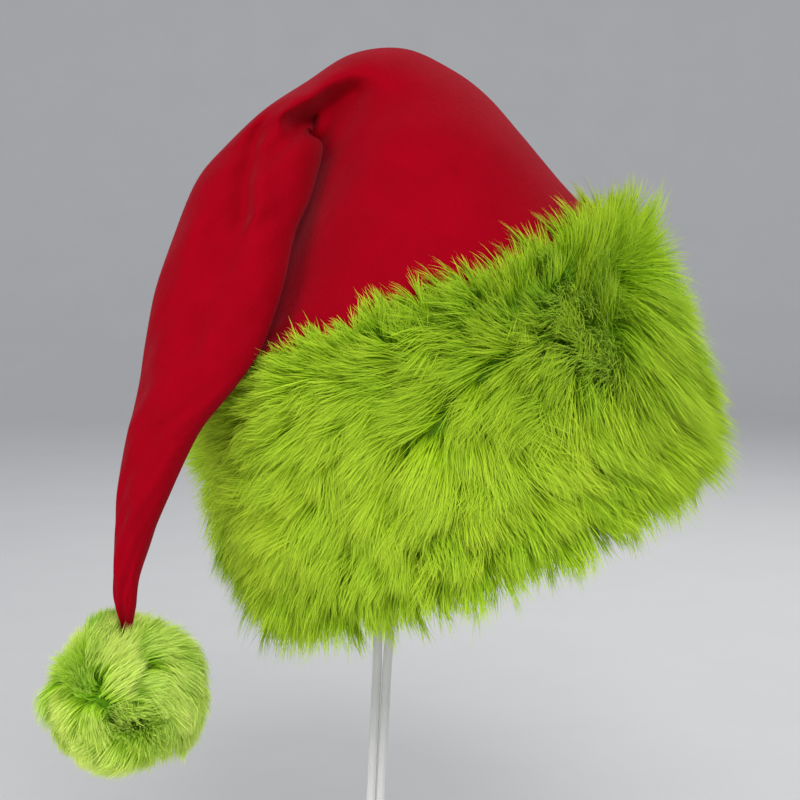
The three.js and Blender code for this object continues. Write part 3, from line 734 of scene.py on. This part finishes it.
def fleece_material():
    """Red fleece: a short raised nap with soft mottling and a pale sheen."""
    material, nodes, links, shader = new_material(
        "red_fleece", Roughness=0.95, Specular_IOR_Level=0.05,
        Sheen_Weight=0.12, Sheen_Roughness=0.35, Sheen_Tint=FLEECE_SHEEN,
    )
    mottle(nodes, links, shader, scale=60, colours=FLEECE)
    both = nodes.new("ShaderNodeMath")
    both.operation = "ADD"
    links.new(noise(nodes, links, scale=1500, detail=2.0, roughness=0.7), both.inputs[0])
    links.new(noise(nodes, links, scale=420, detail=2.0), both.inputs[1])
    emboss(nodes, links, shader, both.outputs["Value"], strength=0.5, distance=0.0006)
    return material


def fur_material(name, colours, shades):
    """Long soft hair: darker at the root as painted shade deep in the pile, paler towards its tip
    as a painted highlight, and each tuft its own shade.
    """
    material, nodes, links, shader = new_material(
        name, Roughness=0.6, Specular_IOR_Level=0.15,
        Sheen_Weight=0.3, Sheen_Roughness=0.4, Sheen_Tint=LIME_SHEEN,
    )
    place = nodes.new("ShaderNodeUVMap")
    place.uv_map = "OFBake"
    split = nodes.new("ShaderNodeSeparateXYZ")
    links.new(place.outputs["UV"], split.inputs["Vector"])
    # The ramp along each hair paints shade at its root and a highlight at its tip
    along = ramp(nodes, ROOT_SHADE_TIP_LIGHT_STOPS, colours)
    links.new(split.outputs["Y"], along.inputs["Fac"])
    shade = ramp(nodes, SHADE_STOPS, shades)
    links.new(split.outputs["X"], shade.inputs["Fac"])
    mix = nodes.new("ShaderNodeMix")
    mix.data_type = "RGBA"
    mix.blend_type = "MULTIPLY"
    mix.inputs["Factor"].default_value = 1.0
    links.new(along.outputs["Color"], mix.inputs["A"])
    links.new(shade.outputs["Color"], mix.inputs["B"])
    links.new(mix.outputs["Result"], shader.inputs["Base Color"])
    return material


def backing_material():
    """The dense pile between the long hairs, in a dark green that is painted shade deep in the
    pile.
    """
    material, nodes, links, shader = new_material("lime_backing_painted_shade", Roughness=1.0)
    mottle(nodes, links, shader, scale=300, colours=BACKING_PAINTED_SHADE, stops=BACKING_STOPS)
    return material


def coating_material():
    """White powder coat on steel, with its faint orange-peel surface."""
    material, nodes, links, shader = new_material("white_coating", Roughness=0.4)
    mottle(nodes, links, shader, scale=60, colours=COATING)
    peel = noise(nodes, links, scale=900, detail=1.0)
    emboss(nodes, links, shader, peel, strength=0.15, distance=0.0002)
    return material


def ride_all(pieces):
    for piece in pieces:
        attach(piece, "root")


def build_crown():
    """The cloth crown with its tail."""
    crown = crown_piece(fleece_material())
    ride_all([crown])
    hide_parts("crown")
    return crown


def build_cuff(crown, backing):
    """The cuff's dense pile, and its long fur in quarters."""
    material = fur_material("lime_fur", LIME_ROOT_SHADE_TIP_LIGHT, LIME_SHADES)
    # The dense pile takes a dark green, painted shade between the long hairs
    cuff = cuff_backing(backing)
    lines, facing, tint, around = cuff_hairs()
    kept = clear_of(crown, lines, CUFF_ROOM)
    quarter = np.floor(around / FULL_TURN * CUFF_PIECES).astype(int)
    fur = [cuff]
    for number in range(CUFF_PIECES):
        mine = kept & (quarter == number)
        width = rng.uniform(*CUFF_WIDTHS, mine.sum())
        name = f"cuff_fur_{number + 1}"
        fur.append(hair_piece(name, lines[mine], facing[mine], tint[mine], width, material))
    ride_all(fur)
    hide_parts("fur_band")


def build_pompom(crown, backing):
    """The pompom's tight ball and its fur."""
    material = fur_material("bright_lime_fur", BRIGHT_LIME_ROOT_SHADE_TIP_LIGHT, BRIGHT_SHADES)
    # The core takes the dense pile's dark green, painted shade inside the pompom
    core = pompom_core(backing)
    lines, facing, tint = pompom_hairs()
    kept = clear_of(crown, lines, POMPOM_ROOM)
    width = rng.uniform(*POMPOM_WIDTHS, kept.sum())
    ball = hair_piece("pompom_fur", lines[kept], facing[kept], tint[kept], width, material)
    ride_all([core, ball])
    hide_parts("pompom")


def finish_stand():
    """The bent wire and its base are right as they are, and take the white coating."""
    coat = coating_material()
    for name in ("stand_wire", "stand_base"):
        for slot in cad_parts[name].material_slots:
            slot.material = coat


# The stage in metres: half its width, its front and back, its bend up and its height
STAGE_WIDTH = 14.0
STAGE_FRONT = -14.0
STAGE_BACK = 2.2
STAGE_BEND = 1.2
STAGE_HEIGHT = 5.0
BEND_STEPS = 24
STAGE_UV_SPAN = 6.0
WORLD_COLOUR = (0.9, 0.92, 1, 1)
WORLD_STRENGTH = 0.45

# Lights: name, place, what they aim at, size and power
LIGHTS = [
    ("key", (0.3, -1.35, 1.35), (0, 0, 0.27), 0.9, 17),
    ("fill", (-1.2, -1.2, 0.35), (-0.05, 0, 0.22), 0.8, 7),
    ("rim", (0.5, 1.2, 1.3), (0, 0, 0.3), 0.8, 8),
]
CAMERA_PLACE = (0.015, -0.8951, 0.3561)
CAMERA_AIM = (0.015, 0, 0.262)
CAMERA_LENS = 90
CAMERA_SENSOR = 36


def aimed(data, place, target):
    """A light or camera at its place, turned to its target."""
    item = bpy.data.objects.new(data.name, data)
    item.location = place
    way = Vector(target) - Vector(place)
    item.rotation_euler = way.to_track_quat("-Z", "Y").to_euler()
    bpy.context.scene.collection.objects.link(item)
    return item


def build_floor():
    """A pale floor that curves up behind."""
    section = [(STAGE_FRONT, 0), (STAGE_BACK, 0)]
    for step in range(1, BEND_STEPS + 1):
        turn = step / BEND_STEPS * math.pi / 2
        back = STAGE_BACK + STAGE_BEND * math.sin(turn)
        section.append((back, STAGE_BEND - STAGE_BEND * math.cos(turn)))
    section.append((STAGE_BACK + STAGE_BEND, STAGE_HEIGHT))
    count = len(section)
    points = np.array([[x, y, z] for x in (-STAGE_WIDTH, STAGE_WIDTH) for y, z in section])
    quads = np.array([[n, count + n, count + n + 1, n + 1] for n in range(count - 1)])
    material, nodes, links, shader = new_material("pale_floor", Roughness=0.9)
    mottle(nodes, links, shader, scale=12, colours=FLOOR)
    uv = points[:, :2] / STAGE_UV_SPAN
    mesh_piece("floor", points / MM, quads, [], uv, material)


def build_stage():
    """The floor, soft lights and the camera."""
    build_floor()
    world = bpy.data.worlds.new("studio")
    world.use_nodes = True
    background = world.node_tree.nodes["Background"]
    background.inputs["Color"].default_value = WORLD_COLOUR
    background.inputs["Strength"].default_value = WORLD_STRENGTH
    bpy.context.scene.world = world
    bpy.context.scene.view_settings.view_transform = "Standard"
    for name, place, target, size, power in LIGHTS:
        data = bpy.data.lights.new(name, "AREA")
        data.shape = "DISK"
        data.size = size
        data.energy = power
        aimed(data, place, target)
    data = bpy.data.cameras.new("camera")
    data.lens = CAMERA_LENS
    data.sensor_width = CAMERA_SENSOR
    bpy.context.scene.camera = aimed(data, CAMERA_PLACE, CAMERA_AIM)


build_stage()
crown_cloth = build_crown()
dense_pile = backing_material()
build_cuff(crown_cloth, dense_pile)
build_pompom(crown_cloth, dense_pile)
finish_stand()
